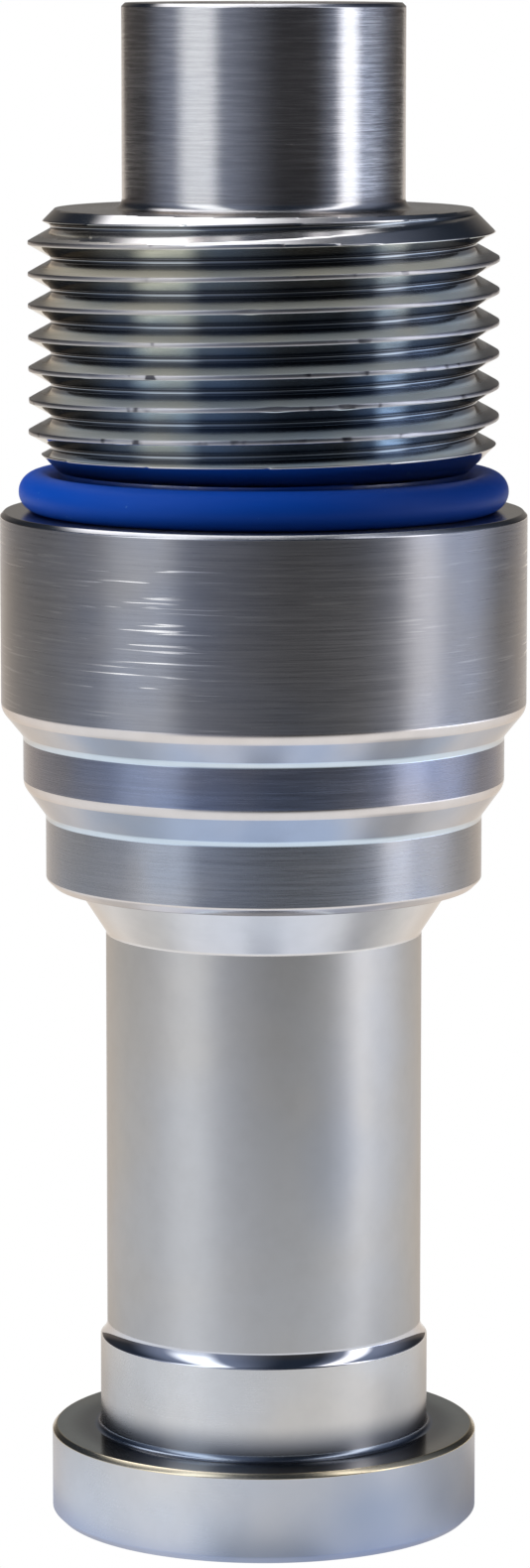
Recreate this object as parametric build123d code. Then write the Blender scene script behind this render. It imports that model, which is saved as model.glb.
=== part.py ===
from build123d import *
import math
import os

# Screw-in poppet cartridge valve with a flat nose, a threaded body and a flanged tail.
# Millimetres. Z is the turning axis: the flange face is z = 0 and the nose points up +Z.

# ---------------------------------------------------------------- body, outside
NOSE_TOP_Z = 146.5
NOSE_R = 13.5
NOSE_CHAMFER = 0.35
NOSE_ROOT_FILLET = 1.0
THREAD_TOP_Z = 127.1
THREAD_PITCH = 3.0
THREAD_MAJOR_R = 22.475            # M45 x 3, right hand
THREAD_DEPTH = 2.13
THREAD_ROOT_FLAT = 0.24
THREAD_HALF_ANGLE = 30.0
THREAD_LEAD_CHAMFER = 2.55
THREAD_CREST_Z = 122.37            # a crest passes through this height at angle 0
RELIEF_R = 19.7                    # undercut that holds the collar O-ring
RELIEF_TOP_Z = 102.2
COLLAR_R = 25.25
COLLAR_TOP_Z = 98.3
COLLAR_BOTTOM_Z = 79.3
UPPER_STEP_R = 23.15
UPPER_STEP_TOP_Z = 76.75
UPPER_STEP_BOTTOM_Z = 72.0
LOWER_STEP_R = 21.0
LOWER_STEP_TOP_Z = 69.05
BODY_BOTTOM_Z = 62.2
BODY_BOTTOM_CHAMFER = 0.7
EDGE_BREAK = 0.4
CONE_FOOT_FILLET = 0.5

# ---------------------------------------------------------------- body, inside
LIP_R = 8.5
LIP_BOTTOM_Z = 142.5
NOSE_BORE_R = 11.5
NOSE_BORE_BOTTOM_Z = 123.0
CHAMBER_R = 15.0
CHAMBER_TOP_Z = 119.5
CHAMBER_BOTTOM_Z = 91.6
TAIL_BORE_R = 16.8
TAIL_THREAD_TOP_Z = 77.0
TAIL_THREAD_R = 18.0               # M36 x 2 drawn as a plain diameter
CIRCLIP_GROOVE_R = 17.6
CIRCLIP_GROOVE_Z = (85.4, 86.8)

# ---------------------------------------------------------------- tail adapter
FLANGE_R = 20.65
FLANGE_THICKNESS = 8.8
FLANGE_BOTTOM_BREAK = 0.7
FLANGE_TOP_BREAK = 0.3
NECK_R = 15.9
NECK_TOP_Z = 17.75
NECK_FILLET = 2.0
SHANK_R = 15.25
SHANK_FOOT_Z = 19.2
SHANK_TOP_Z = 57.65
TAIL_SHOULDER_R = 18.2
TAIL_THREAD_CLEARANCE = 0.05
TAIL_BORE_CLEARANCE = 0.05
TAIL_TOP_Z = 85.2
TAIL_PORT_R = 9.5                  # 19 mm nominal bore
TAIL_PORT_TOP_Z = 58.0
TAIL_MOUTH_R = 11.5
TAIL_MOUTH_Z = 76.0
TAIL_LIP_CHAMFER = 1.2
TAIL_GROOVE_R = 14.5
TAIL_GROOVE_Z = (79.0, 83.6)
FACE_GROOVE_R = (12.1, 15.875)
FACE_GROOVE_DEPTH = 2.8

# ---------------------------------------------------------------- seals
COLLAR_RING_SECTION_R = 1.87
FACE_RING_SECTION_R = 1.38
TAIL_RING_SECTION_R = 1.12
BACKUP_RING_HEIGHT = 1.4
SEAL_GAP = 0.02

# ---------------------------------------------------------------- guide for the poppet stem
GUIDE_RIM_R = (13.2, 16.75)
GUIDE_RIM_BOTTOM_Z = 87.4
GUIDE_HUB_R = 8.6
GUIDE_HUB_Z = (85.6, 94.8)
GUIDE_ARM_COUNT = 3
GUIDE_ARM_WIDTH = 3.0
BUSH_R = (6.03, 7.4)
SHIM_R = (13.6, 16.7)
CIRCLIP_R = (15.0, 17.55)
CIRCLIP_THICKNESS = 1.3
CIRCLIP_GAP_WIDTH = 10.0
CIRCLIP_LUG_R = 2.0
CIRCLIP_LUG_HOLE_R = 0.9
CIRCLIP_LUG_ANGLE = 22.0
WASHER_R = (6.2, 9.6)
WASHER_THICKNESS = 1.2

# ---------------------------------------------------------------- main poppet and its cap
POPPET_TRAVEL = 9.0
POPPET_HEAD_R = 8.45
POPPET_CONE_TOP_Z = 142.508
POPPET_SKIRT_R = 9.6
POPPET_BACK_Z = 139.0
POPPET_HUB_R = 6.5
POPPET_STOP_GAP = 0.05
STEM_R = 6.0
STEM_BOTTOM_Z = 84.0
STEM_CHAMFER = 0.6
STEM_BORE_R = 4.0
PILOT_SEAT_Z = 133.0
PILOT_BORE_R = 2.6
VENT_HOLE_R = 1.25
VENT_HOLE_Z = (121.0, 125.0)
CAP_SOCKET_R = 5.55
CAP_SOCKET_BOTTOM_Z = 141.5
CAP_BOTTOM_Z = 144.9
CAP_NECK_R = 5.5
CAP_BORE_R = 2.54
CAP_CHAMFER = 0.3
SPANNER_HOLE_R = 0.9
SPANNER_HOLE_PITCH_R = 5.6
SPANNER_HOLE_DEPTH = 1.1
SEAL_GROOVE_R = 6.6
SEAL_GROOVE_BOTTOM_Z = 143.25
POPPET_SEAL_R = (7.7, 8.47)
ENERGISER_SECTION_R = 0.54

# ---------------------------------------------------------------- pilot
PILOT_HEAD_R = 2.5
PILOT_HEAD_BOTTOM_Z = 138.0
PILOT_FLAT_DISTANCE = 2.1
PILOT_FLAT_COUNT = 3
PILOT_NECK_R = 1.8
PILOT_FLANGE_R = 3.7
PILOT_FLANGE_Z = (130.3, 131.78)
PILOT_SEAL_R = (1.82, 3.6)
PILOT_GUIDE_R = 2.2
PILOT_GUIDE_BOTTOM_Z = 124.0
PLUG_Z = (106.0, 112.0)
PLUG_R = 3.97
PLUG_SOCKET_ACROSS_FLATS = 4.0
PLUG_SOCKET_DEPTH = 3.5
PLUG_BORE_R = 1.2

# ---------------------------------------------------------------- springs
MAIN_SPRING_MEAN_R = 7.8
MAIN_SPRING_WIRE_R = 0.8
MAIN_SPRING_TURNS = 9.5
PILOT_SPRING_MEAN_R = 3.0
PILOT_SPRING_WIRE_R = 0.3
PILOT_SPRING_TURNS = 9.0
GROUND_END = 0.35                  # share of the wire radius left below the end coil's centre

EDGE_TOLERANCE = 0.02
CUT_MARGIN = 1.0


# ---------------------------------------------------------------- helpers
def turned(*outline):
    """Revolve a closed outline of (radius, height) points about Z."""
    return revolve(Plane.XZ * make_face(Polyline(*outline, close=True)), Axis.Z)


def ring(inner_r, outer_r, bottom_z, top_z):
    """Plain ring of rectangular section; an inner radius of zero makes a disc."""
    return turned((inner_r, bottom_z), (outer_r, bottom_z), (outer_r, top_z), (inner_r, top_z))


def o_ring(centre_r, centre_z, section_r):
    """O-ring of round section."""
    return Pos(0, 0, centre_z) * Torus(centre_r, section_r)


def round_edges(solid, radius, height):
    """The circular edges of a solid at one radius and height."""
    edges = []
    for edge in solid.edges().filter_by(GeomType.CIRCLE):
        same_r = abs(edge.radius - radius) < EDGE_TOLERANCE
        same_z = abs(edge.arc_center.Z - height) < EDGE_TOLERANCE
        if same_r and same_z:
            edges.append(edge)
    return edges


def bevelled(solid, radius, height, size):
    """Chamfer the edge at one radius and height."""
    return chamfer(round_edges(solid, radius, height), size)


def blended(solid, radius, height, size):
    """Fillet the edge at one radius and height."""
    return fillet(round_edges(solid, radius, height), size)


def coil_spring(mean_r, wire_r, bottom_z, top_z, turns):
    """Compression spring whose two ends are ground flat."""
    inset = wire_r * GROUND_END
    height = top_z - bottom_z - 2 * inset
    path = Helix(height / turns, height, mean_r, center=(0, 0, bottom_z + inset))
    section = Plane(path @ 0, z_dir=path % 0) * Circle(wire_r)
    coil = sweep(section, path, is_frenet=True)
    return coil & ring(0, mean_r + 2 * wire_r, bottom_z, top_z)


def around(count, shape, start_angle=0.0):
    """Copies of a shape at equal angles about Z."""
    return [Rot(0, 0, start_angle + 360.0 * k / count) * shape for k in range(count)]


# ---------------------------------------------------------------- valve body
def thread_groove():
    """The helical V groove between the thread's crests."""
    overshoot = 0.6
    root_r = THREAD_MAJOR_R - THREAD_DEPTH
    outer_r = THREAD_MAJOR_R + overshoot
    flank = math.tan(math.radians(THREAD_HALF_ANGLE))
    half_root = THREAD_ROOT_FLAT / 2
    half_mouth = half_root + (outer_r - root_r) * flank
    lowest_z = COLLAR_TOP_Z + half_mouth + SEAL_GAP
    groove_z = THREAD_CREST_Z + THREAD_PITCH / 2
    while groove_z - THREAD_PITCH > lowest_z:
        groove_z -= THREAD_PITCH
    height = THREAD_TOP_Z + THREAD_PITCH - groove_z
    path = Helix(THREAD_PITCH, height, root_r, center=(0, 0, groove_z))
    section = Plane.XZ * make_face(Polyline(
        (root_r, groove_z - half_root),
        (outer_r, groove_z - half_mouth),
        (outer_r, groove_z + half_mouth),
        (root_r, groove_z + half_root),
        close=True))
    return sweep(section, path, is_frenet=True)


def body_outside():
    """Turned blank of the body, from the nose down to the seam with the tail."""
    blank = turned(
        (0, BODY_BOTTOM_Z),
        (LOWER_STEP_R, BODY_BOTTOM_Z),
        (LOWER_STEP_R, LOWER_STEP_TOP_Z),
        (UPPER_STEP_R, UPPER_STEP_BOTTOM_Z),
        (UPPER_STEP_R, UPPER_STEP_TOP_Z),
        (COLLAR_R, COLLAR_BOTTOM_Z),
        (COLLAR_R, COLLAR_TOP_Z),
        (RELIEF_R, COLLAR_TOP_Z),
        (RELIEF_R, RELIEF_TOP_Z),
        (THREAD_MAJOR_R, RELIEF_TOP_Z + THREAD_MAJOR_R - RELIEF_R),
        (THREAD_MAJOR_R, THREAD_TOP_Z),
        (NOSE_R, THREAD_TOP_Z),
        (NOSE_R, NOSE_TOP_Z),
        (0, NOSE_TOP_Z))
    blank = bevelled(blank, LOWER_STEP_R, BODY_BOTTOM_Z, BODY_BOTTOM_CHAMFER)
    blank = bevelled(blank, COLLAR_R, COLLAR_TOP_Z, EDGE_BREAK)
    blank = bevelled(blank, THREAD_MAJOR_R, THREAD_TOP_Z, THREAD_LEAD_CHAMFER)
    blank = bevelled(blank, NOSE_R, NOSE_TOP_Z, NOSE_CHAMFER)
    blank = blended(blank, NOSE_R, THREAD_TOP_Z, NOSE_ROOT_FILLET)
    for step_r, step_z in ((LOWER_STEP_R, LOWER_STEP_TOP_Z), (UPPER_STEP_R, UPPER_STEP_TOP_Z),
                           (UPPER_STEP_R, UPPER_STEP_BOTTOM_Z), (COLLAR_R, COLLAR_BOTTOM_Z)):
        blank = blended(blank, step_r, step_z, CONE_FOOT_FILLET)
    return blank


def body_cavity():
    """Everything bored out of the body: lip, seat, chamber, guide bore and tail thread."""
    seat_drop = NOSE_BORE_R - LIP_R
    bore = turned(
        (0, BODY_BOTTOM_Z - CUT_MARGIN),
        (TAIL_THREAD_R, BODY_BOTTOM_Z - CUT_MARGIN),
        (TAIL_THREAD_R, TAIL_THREAD_TOP_Z),
        (TAIL_BORE_R, TAIL_THREAD_TOP_Z),
        (TAIL_BORE_R, CHAMBER_BOTTOM_Z),
        (CHAMBER_R, CHAMBER_BOTTOM_Z),
        (CHAMBER_R, CHAMBER_TOP_Z),
        (NOSE_BORE_R, NOSE_BORE_BOTTOM_Z),
        (NOSE_BORE_R, LIP_BOTTOM_Z - seat_drop),
        (LIP_R, LIP_BOTTOM_Z),
        (LIP_R, NOSE_TOP_Z + CUT_MARGIN),
        (0, NOSE_TOP_Z + CUT_MARGIN))
    return bore + ring(0, CIRCLIP_GROOVE_R, *CIRCLIP_GROOVE_Z)


def valve_body():
    """Outer body: nose, M45 x 3 thread, O-ring undercut, collar and the two conical steps."""
    return body_outside() - body_cavity() - thread_groove()


# ---------------------------------------------------------------- tail adapter
def tail_outside():
    """Flange head, neck, shank, shoulder cone, tail thread and spigot with its seal groove."""
    arc_height = SHANK_FOOT_Z - NECK_TOP_Z
    arc_depth = NECK_R - SHANK_R
    arc_r = (arc_height ** 2 + arc_depth ** 2) / (2 * arc_depth)
    lower = Polyline((0, 0), (FLANGE_R, 0), (FLANGE_R, FLANGE_THICKNESS),
                     (NECK_R, FLANGE_THICKNESS), (NECK_R, NECK_TOP_Z))
    sweep_angle = math.asin(arc_height / arc_r)
    middle = (SHANK_R + arc_r * (1 - math.cos(sweep_angle / 2)),
              SHANK_FOOT_Z - arc_r * math.sin(sweep_angle / 2))
    hollow = ThreePointArc((NECK_R, NECK_TOP_Z), middle, (SHANK_R, SHANK_FOOT_Z))
    upper = Polyline((SHANK_R, SHANK_FOOT_Z), (SHANK_R, SHANK_TOP_Z),
                     (TAIL_SHOULDER_R, BODY_BOTTOM_Z),
                     (TAIL_THREAD_R - TAIL_THREAD_CLEARANCE, BODY_BOTTOM_Z),
                     (TAIL_THREAD_R - TAIL_THREAD_CLEARANCE, TAIL_THREAD_TOP_Z),
                     (TAIL_BORE_R - TAIL_BORE_CLEARANCE, TAIL_THREAD_TOP_Z),
                     (TAIL_BORE_R - TAIL_BORE_CLEARANCE, TAIL_TOP_Z),
                     (0, TAIL_TOP_Z), (0, 0))
    blank = revolve(Plane.XZ * make_face(lower + hollow + upper), Axis.Z)
    blank = blended(blank, NECK_R, FLANGE_THICKNESS, NECK_FILLET)
    blank = bevelled(blank, FLANGE_R, 0, FLANGE_BOTTOM_BREAK)
    blank = bevelled(blank, FLANGE_R, FLANGE_THICKNESS, FLANGE_TOP_BREAK)
    return blank


def tail_adapter():
    """Tail that screws into the body and ends in a flange head for split clamps."""
    bore = turned(
        (0, -CUT_MARGIN),
        (TAIL_PORT_R, -CUT_MARGIN),
        (TAIL_PORT_R, TAIL_PORT_TOP_Z),
        (TAIL_MOUTH_R, TAIL_MOUTH_Z),
        (TAIL_MOUTH_R, TAIL_TOP_Z + CUT_MARGIN),
        (0, TAIL_TOP_Z + CUT_MARGIN))
    adapter = tail_outside() - bore
    adapter = bevelled(adapter, TAIL_MOUTH_R, TAIL_TOP_Z, TAIL_LIP_CHAMFER)
    adapter -= ring(TAIL_GROOVE_R, TAIL_THREAD_R + CUT_MARGIN, *TAIL_GROOVE_Z)
    adapter -= ring(*FACE_GROOVE_R, -CUT_MARGIN, FACE_GROOVE_DEPTH)
    return adapter


# ---------------------------------------------------------------- seals
def collar_o_ring():
    """Blue ring that seals the body in its port, resting on the collar."""
    section_r = COLLAR_RING_SECTION_R
    return o_ring(RELIEF_R + section_r + SEAL_GAP / 2, COLLAR_TOP_Z + section_r + SEAL_GAP / 2,
                  section_r)


def flange_o_ring():
    """Face seal in the flange head, drawn pressed flush as it is when clamped."""
    centre_r = sum(FACE_GROOVE_R) / 2
    return o_ring(centre_r, FACE_RING_SECTION_R + SEAL_GAP, FACE_RING_SECTION_R)


def tail_backup_ring():
    """Stiff ring on the outer side of the tail's O-ring."""
    bottom_z = TAIL_GROOVE_Z[0] + SEAL_GAP
    outer_r = TAIL_BORE_R - SEAL_GAP
    return ring(TAIL_GROOVE_R + SEAL_GAP, outer_r, bottom_z, bottom_z + BACKUP_RING_HEIGHT)


def tail_o_ring():
    """O-ring that seals the tail's spigot in the body bore."""
    centre_r = (TAIL_GROOVE_R + TAIL_BORE_R) / 2
    centre_z = TAIL_GROOVE_Z[0] + BACKUP_RING_HEIGHT + 2 * SEAL_GAP + TAIL_RING_SECTION_R
    return o_ring(centre_r, centre_z, TAIL_RING_SECTION_R)


def poppet_seal():
    """Low-friction ring that wipes the nose lip when the valve is shut."""
    return ring(*POPPET_SEAL_R, SEAL_GROOVE_BOTTOM_Z + SEAL_GAP, CAP_BOTTOM_Z - SEAL_GAP)


def seal_energiser():
    """Small O-ring that presses the poppet seal outward."""
    centre_r = (SEAL_GROOVE_R + POPPET_SEAL_R[0]) / 2
    centre_z = (SEAL_GROOVE_BOTTOM_Z + CAP_BOTTOM_Z) / 2
    return o_ring(centre_r, centre_z, ENERGISER_SECTION_R)


# ---------------------------------------------------------------- stem guide
def valve_guide():
    """Three-armed spider that carries the poppet stem and lets the oil past."""
    rim = ring(*GUIDE_RIM_R, GUIDE_RIM_BOTTOM_Z, CHAMBER_BOTTOM_Z)
    hub = ring(0, GUIDE_HUB_R, *GUIDE_HUB_Z)
    arm_r = sum(GUIDE_RIM_R) / 2
    arm_height = CHAMBER_BOTTOM_Z - GUIDE_RIM_BOTTOM_Z
    arm = Pos(arm_r / 2, 0, (CHAMBER_BOTTOM_Z + GUIDE_RIM_BOTTOM_Z) / 2) * Box(
        arm_r, GUIDE_ARM_WIDTH, arm_height)
    spider = rim + hub + around(GUIDE_ARM_COUNT, arm, start_angle=90)
    spider = bevelled(spider, GUIDE_HUB_R, GUIDE_HUB_Z[0], EDGE_BREAK)
    return spider - ring(0, BUSH_R[1], GUIDE_HUB_Z[0] - CUT_MARGIN, GUIDE_HUB_Z[1] + CUT_MARGIN)


def guide_bush():
    """Bronze bush pressed into the guide; the poppet stem slides in it."""
    bush = ring(*BUSH_R, *GUIDE_HUB_Z)
    return bevelled(bush, BUSH_R[0], GUIDE_HUB_Z[0], EDGE_BREAK)


def guide_shim():
    """Shim between the guide and its circlip."""
    return ring(*SHIM_R, CIRCLIP_GROOVE_Z[1], GUIDE_RIM_BOTTOM_Z)


def guide_circlip():
    """Internal circlip with two plier lugs."""
    top_z = CIRCLIP_GROOVE_Z[1]
    bottom_z = top_z - CIRCLIP_THICKNESS
    middle_z = (top_z + bottom_z) / 2
    clip = ring(*CIRCLIP_R, bottom_z, top_z)
    gap = Pos(0, -CIRCLIP_R[1], middle_z) * Box(
        CIRCLIP_GAP_WIDTH, CIRCLIP_R[1], CIRCLIP_THICKNESS + CUT_MARGIN)
    clip -= gap
    lug_centre_r = CIRCLIP_R[0] - CIRCLIP_LUG_R / 2
    for side in (-1, 1):
        place = Rot(0, 0, -90 + side * CIRCLIP_LUG_ANGLE) * Pos(lug_centre_r, 0, middle_z)
        clip += place * Cylinder(CIRCLIP_LUG_R, CIRCLIP_THICKNESS)
        clip -= place * Cylinder(CIRCLIP_LUG_HOLE_R, CIRCLIP_THICKNESS + CUT_MARGIN)
    return clip


def spring_washer():
    """Flat washer under the main spring; it is also the poppet's travel stop."""
    return ring(*WASHER_R, GUIDE_HUB_Z[1], GUIDE_HUB_Z[1] + WASHER_THICKNESS)


# ---------------------------------------------------------------- poppet
def main_poppet():
    """Poppet head with its 45 degree seat, hub and hollow stem."""
    washer_top_z = GUIDE_HUB_Z[1] + WASHER_THICKNESS
    hub_bottom_z = washer_top_z + POPPET_TRAVEL + POPPET_STOP_GAP
    cone_bottom_z = POPPET_CONE_TOP_Z - (POPPET_SKIRT_R - POPPET_HEAD_R)
    outside = turned(
        (0, STEM_BOTTOM_Z),
        (STEM_R, STEM_BOTTOM_Z),
        (STEM_R, hub_bottom_z),
        (POPPET_HUB_R, hub_bottom_z),
        (POPPET_HUB_R, POPPET_BACK_Z),
        (POPPET_SKIRT_R, POPPET_BACK_Z),
        (POPPET_SKIRT_R, cone_bottom_z),
        (POPPET_HEAD_R, POPPET_CONE_TOP_Z),
        (POPPET_HEAD_R, SEAL_GROOVE_BOTTOM_Z),
        (SEAL_GROOVE_R, SEAL_GROOVE_BOTTOM_Z),
        (SEAL_GROOVE_R, CAP_BOTTOM_Z),
        (0, CAP_BOTTOM_Z))
    outside = bevelled(outside, STEM_R, STEM_BOTTOM_Z, STEM_CHAMFER)
    bore = turned(
        (0, STEM_BOTTOM_Z - CUT_MARGIN),
        (STEM_BORE_R, STEM_BOTTOM_Z - CUT_MARGIN),
        (STEM_BORE_R, PILOT_SEAT_Z),
        (PILOT_BORE_R, PILOT_SEAT_Z),
        (PILOT_BORE_R, CAP_SOCKET_BOTTOM_Z),
        (CAP_SOCKET_R, CAP_SOCKET_BOTTOM_Z),
        (CAP_SOCKET_R, CAP_BOTTOM_Z + CUT_MARGIN),
        (0, CAP_BOTTOM_Z + CUT_MARGIN))
    poppet = outside - bore
    for k, hole_z in enumerate(VENT_HOLE_Z):
        vent = Pos(0, 0, hole_z) * Rot(0, 0, 90 * k) * Rot(0, 90, 0) * Cylinder(
            VENT_HOLE_R, 2 * POPPET_HUB_R + CUT_MARGIN)
        poppet -= vent
    return poppet


def poppet_cap():
    """Cap screwed into the poppet head; its top is the flat nose face."""
    neck_bottom_z = CAP_SOCKET_BOTTOM_Z + CAP_CHAMFER
    cap = turned(
        (0, neck_bottom_z),
        (CAP_NECK_R, neck_bottom_z),
        (CAP_NECK_R, CAP_BOTTOM_Z),
        (POPPET_HEAD_R, CAP_BOTTOM_Z),
        (POPPET_HEAD_R, NOSE_TOP_Z),
        (0, NOSE_TOP_Z))
    cap = bevelled(cap, CAP_NECK_R, neck_bottom_z, CAP_CHAMFER)
    cap -= ring(0, CAP_BORE_R, neck_bottom_z - CUT_MARGIN, NOSE_TOP_Z + CUT_MARGIN)
    hole = Pos(SPANNER_HOLE_PITCH_R, 0, NOSE_TOP_Z) * Cylinder(
        SPANNER_HOLE_R, 2 * SPANNER_HOLE_DEPTH)
    for spanner_hole in around(2, hole):
        cap -= spanner_hole
    return cap


# ---------------------------------------------------------------- pilot
def pilot_pin():
    """Pilot valve: a button in the nose face, a thin neck, the seal flange and a spring guide."""
    pin = turned(
        (0, PILOT_GUIDE_BOTTOM_Z),
        (PILOT_GUIDE_R, PILOT_GUIDE_BOTTOM_Z),
        (PILOT_GUIDE_R, PILOT_FLANGE_Z[0]),
        (PILOT_FLANGE_R, PILOT_FLANGE_Z[0]),
        (PILOT_FLANGE_R, PILOT_FLANGE_Z[1]),
        (PILOT_NECK_R, PILOT_FLANGE_Z[1]),
        (PILOT_NECK_R, PILOT_HEAD_BOTTOM_Z),
        (PILOT_HEAD_R, PILOT_HEAD_BOTTOM_Z),
        (PILOT_HEAD_R, NOSE_TOP_Z),
        (0, NOSE_TOP_Z))
    head_height = NOSE_TOP_Z - PILOT_HEAD_BOTTOM_Z
    flat = Pos(PILOT_FLAT_DISTANCE + PILOT_HEAD_R, 0, PILOT_HEAD_BOTTOM_Z + head_height / 2) * Box(
        2 * PILOT_HEAD_R, 2 * PILOT_HEAD_R, head_height + CUT_MARGIN)
    for side in around(PILOT_FLAT_COUNT, flat, start_angle=90):
        pin -= side
    return pin


def pilot_seal():
    """Washer of soft seal material on the pilot flange."""
    return ring(*PILOT_SEAL_R, PILOT_FLANGE_Z[1] + SEAL_GAP, PILOT_SEAT_Z - SEAL_GAP)


def pilot_plug():
    """Hollow screw that holds the pilot spring up inside the stem."""
    plug = ring(PLUG_BORE_R, PLUG_R, *PLUG_Z)
    socket = RegularPolygon(PLUG_SOCKET_ACROSS_FLATS / 2, 6, major_radius=False)
    plug -= Pos(0, 0, PLUG_Z[0]) * extrude(socket, PLUG_SOCKET_DEPTH)
    return plug


# ---------------------------------------------------------------- springs
def main_spring():
    """Spring that closes the main poppet."""
    return coil_spring(MAIN_SPRING_MEAN_R, MAIN_SPRING_WIRE_R,
                       GUIDE_HUB_Z[1] + WASHER_THICKNESS, POPPET_BACK_Z, MAIN_SPRING_TURNS)


def pilot_spring():
    """Spring that closes the pilot."""
    return coil_spring(PILOT_SPRING_MEAN_R, PILOT_SPRING_WIRE_R,
                       PLUG_Z[1], PILOT_FLANGE_Z[0], PILOT_SPRING_TURNS)


PIECES = (
    valve_body,
    tail_adapter,
    collar_o_ring,
    flange_o_ring,
    tail_backup_ring,
    tail_o_ring,
    valve_guide,
    guide_bush,
    guide_shim,
    guide_circlip,
    spring_washer,
    main_spring,
    main_poppet,
    poppet_cap,
    poppet_seal,
    seal_energiser,
    pilot_pin,
    pilot_seal,
    pilot_spring,
    pilot_plug,
)

os.makedirs("parts", exist_ok=True)
for piece in PIECES:
    export_step(piece(), f"parts/{piece.__name__}.step")
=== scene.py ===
import math

import bmesh
import bpy
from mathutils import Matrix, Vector, noise


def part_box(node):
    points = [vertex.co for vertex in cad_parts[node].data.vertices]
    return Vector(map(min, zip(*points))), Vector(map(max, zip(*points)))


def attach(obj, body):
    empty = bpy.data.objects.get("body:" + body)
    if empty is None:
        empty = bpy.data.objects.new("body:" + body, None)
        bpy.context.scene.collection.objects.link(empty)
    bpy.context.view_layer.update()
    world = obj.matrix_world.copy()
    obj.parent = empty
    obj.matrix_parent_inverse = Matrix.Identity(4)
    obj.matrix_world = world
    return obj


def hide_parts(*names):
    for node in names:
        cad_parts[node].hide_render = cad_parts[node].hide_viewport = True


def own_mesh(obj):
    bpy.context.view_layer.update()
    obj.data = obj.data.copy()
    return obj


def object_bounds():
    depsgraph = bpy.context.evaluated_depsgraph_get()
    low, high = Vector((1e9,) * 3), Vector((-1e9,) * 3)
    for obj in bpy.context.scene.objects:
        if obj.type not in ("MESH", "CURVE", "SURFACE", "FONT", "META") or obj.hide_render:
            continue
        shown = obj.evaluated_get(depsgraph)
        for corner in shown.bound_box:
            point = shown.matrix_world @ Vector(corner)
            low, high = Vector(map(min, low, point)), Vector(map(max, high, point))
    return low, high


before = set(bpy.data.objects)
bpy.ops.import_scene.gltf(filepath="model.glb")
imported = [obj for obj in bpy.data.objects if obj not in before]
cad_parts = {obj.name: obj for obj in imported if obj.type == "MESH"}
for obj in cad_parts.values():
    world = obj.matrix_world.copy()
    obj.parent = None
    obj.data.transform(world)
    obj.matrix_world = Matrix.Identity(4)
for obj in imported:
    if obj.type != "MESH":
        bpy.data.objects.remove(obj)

CAD_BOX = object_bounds()
MM = 0.001

# ------------------------------------------------------------------ driving sizes, in millimetres
COLUMNS = 288                       # mesh columns round every turned piece
ARC_STEP = math.radians(15)         # widest turn between two points of a rounded corner

THREAD_PITCH = 3.0
THREAD_MAJOR_R = 22.475
THREAD_ROOT_R = 20.345
THREAD_CREST_FLAT = 0.375
THREAD_ROOT_FLAT = 0.24
CREST_EDGE_DROP = 0.03              # how much lower the crest is at its edges than in its middle
CREST_SAMPLES = 4
CREST_CORNER = (0.04, 0.09)         # along and across, from the crest's edge to the straight flank
ROOT_CORNER = (0.04, 0.06)          # the same, from the straight flank to the root
CREST_BAND = 0.05                   # points this close to the major radius can be dented
THREAD_CREST_Z = 122.37             # height of a crest at angle 0
THREAD_LOW_Z = 102.2
THREAD_TOP_Z = 127.1
THREAD_LOW_R = 19.7
THREAD_TOP_R = 19.925
FLANK_ROWS = 12
NICK_DEPTH = 0.16
NICK_THRESHOLD = 0.32
RUN_OUT = 2.5                       # how far down from the top the last, cut-away groove is polished

NOSE_R = 13.5
NOSE_TOP_Z = 146.5
MOUTH_R = 8.5
CHAMBER_R = 15.0
COLLAR_R = 25.25
STEP_HIGH_R = 23.15
STEP_LOW_R = 21.0
BODY_BOTTOM_Z = 62.2                # the seam between the body and the tail
TAIL_TOP_Z = 85.2
TAIL_SPIGOT_R = 16.75
TAIL_THREAD_R = 17.95
SHANK_R = 15.25
NECK_R = 15.9
HOLLOW_Z = (17.75, 19.2)
HOLLOW_STEPS = 8
FLANGE_R = 20.65
FLANGE_THICKNESS = 8.8
PORT_R = 9.5
FACE_GROOVE_R = (12.1, 15.875)
FACE_GROOVE_DEPTH = 2.8

RING_SECTION_COLUMNS = 48
WIRE_COLUMNS = 14
COIL_STEPS = 48                     # per turn
COIL_SINK = 0.35                    # share of the wire's radius that grinding leaves at each end

# Angle of the chuck jaws, turned so that one set of their rub streaks lies where the left light reflects and
# acts as a painted highlight.
JAW_AND_HIGHLIGHT_ANGLE = math.radians(-115)      # the front of the object is at -90
SHANK_BLOOM = (-64, 14, 40, 11, 0.32)        # angle and half width, height and half height, strength
# On the flange the bluish spot is partly painted shade, darkening its front right in place of the floor
# shadow it mirrors.
FLANGE_STAIN_AND_SHADE = (-58, 52, 4.4, 14, 0.85)

VIEW_TILT = math.radians(8.06)
VIEW_DISTANCE = 0.574
VIEW_AIM_HEIGHT = 0.49              # share of the object's height
VIEW_SHIFT = 0.00012
LENS = 136.7
SENSOR = 36.0

# ------------------------------------------------------------------ studio: metres and linear colours
FLOOR_HALF = 12.0
KEY_PLACE = (-0.90, -0.20, 0.65)
KEY_AIM = (0, 0, 0.08)
KEY_SIZE = 0.9
KEY_POWER = 12.0

SEEN_WHITE = (1.0, 1.0, 1.0, 1)     # what the camera sees of the floor and the backdrop
SIDE_SKIRT = (0.26, 0.29, 0.38, 1)
LEFT_CORE = (0.66, 0.66, 0.64, 1)
RIGHT_CORE = (2.0, 1.95, 1.95, 1)
SHEET = (0.94, 0.93, 0.92, 1)
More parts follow.
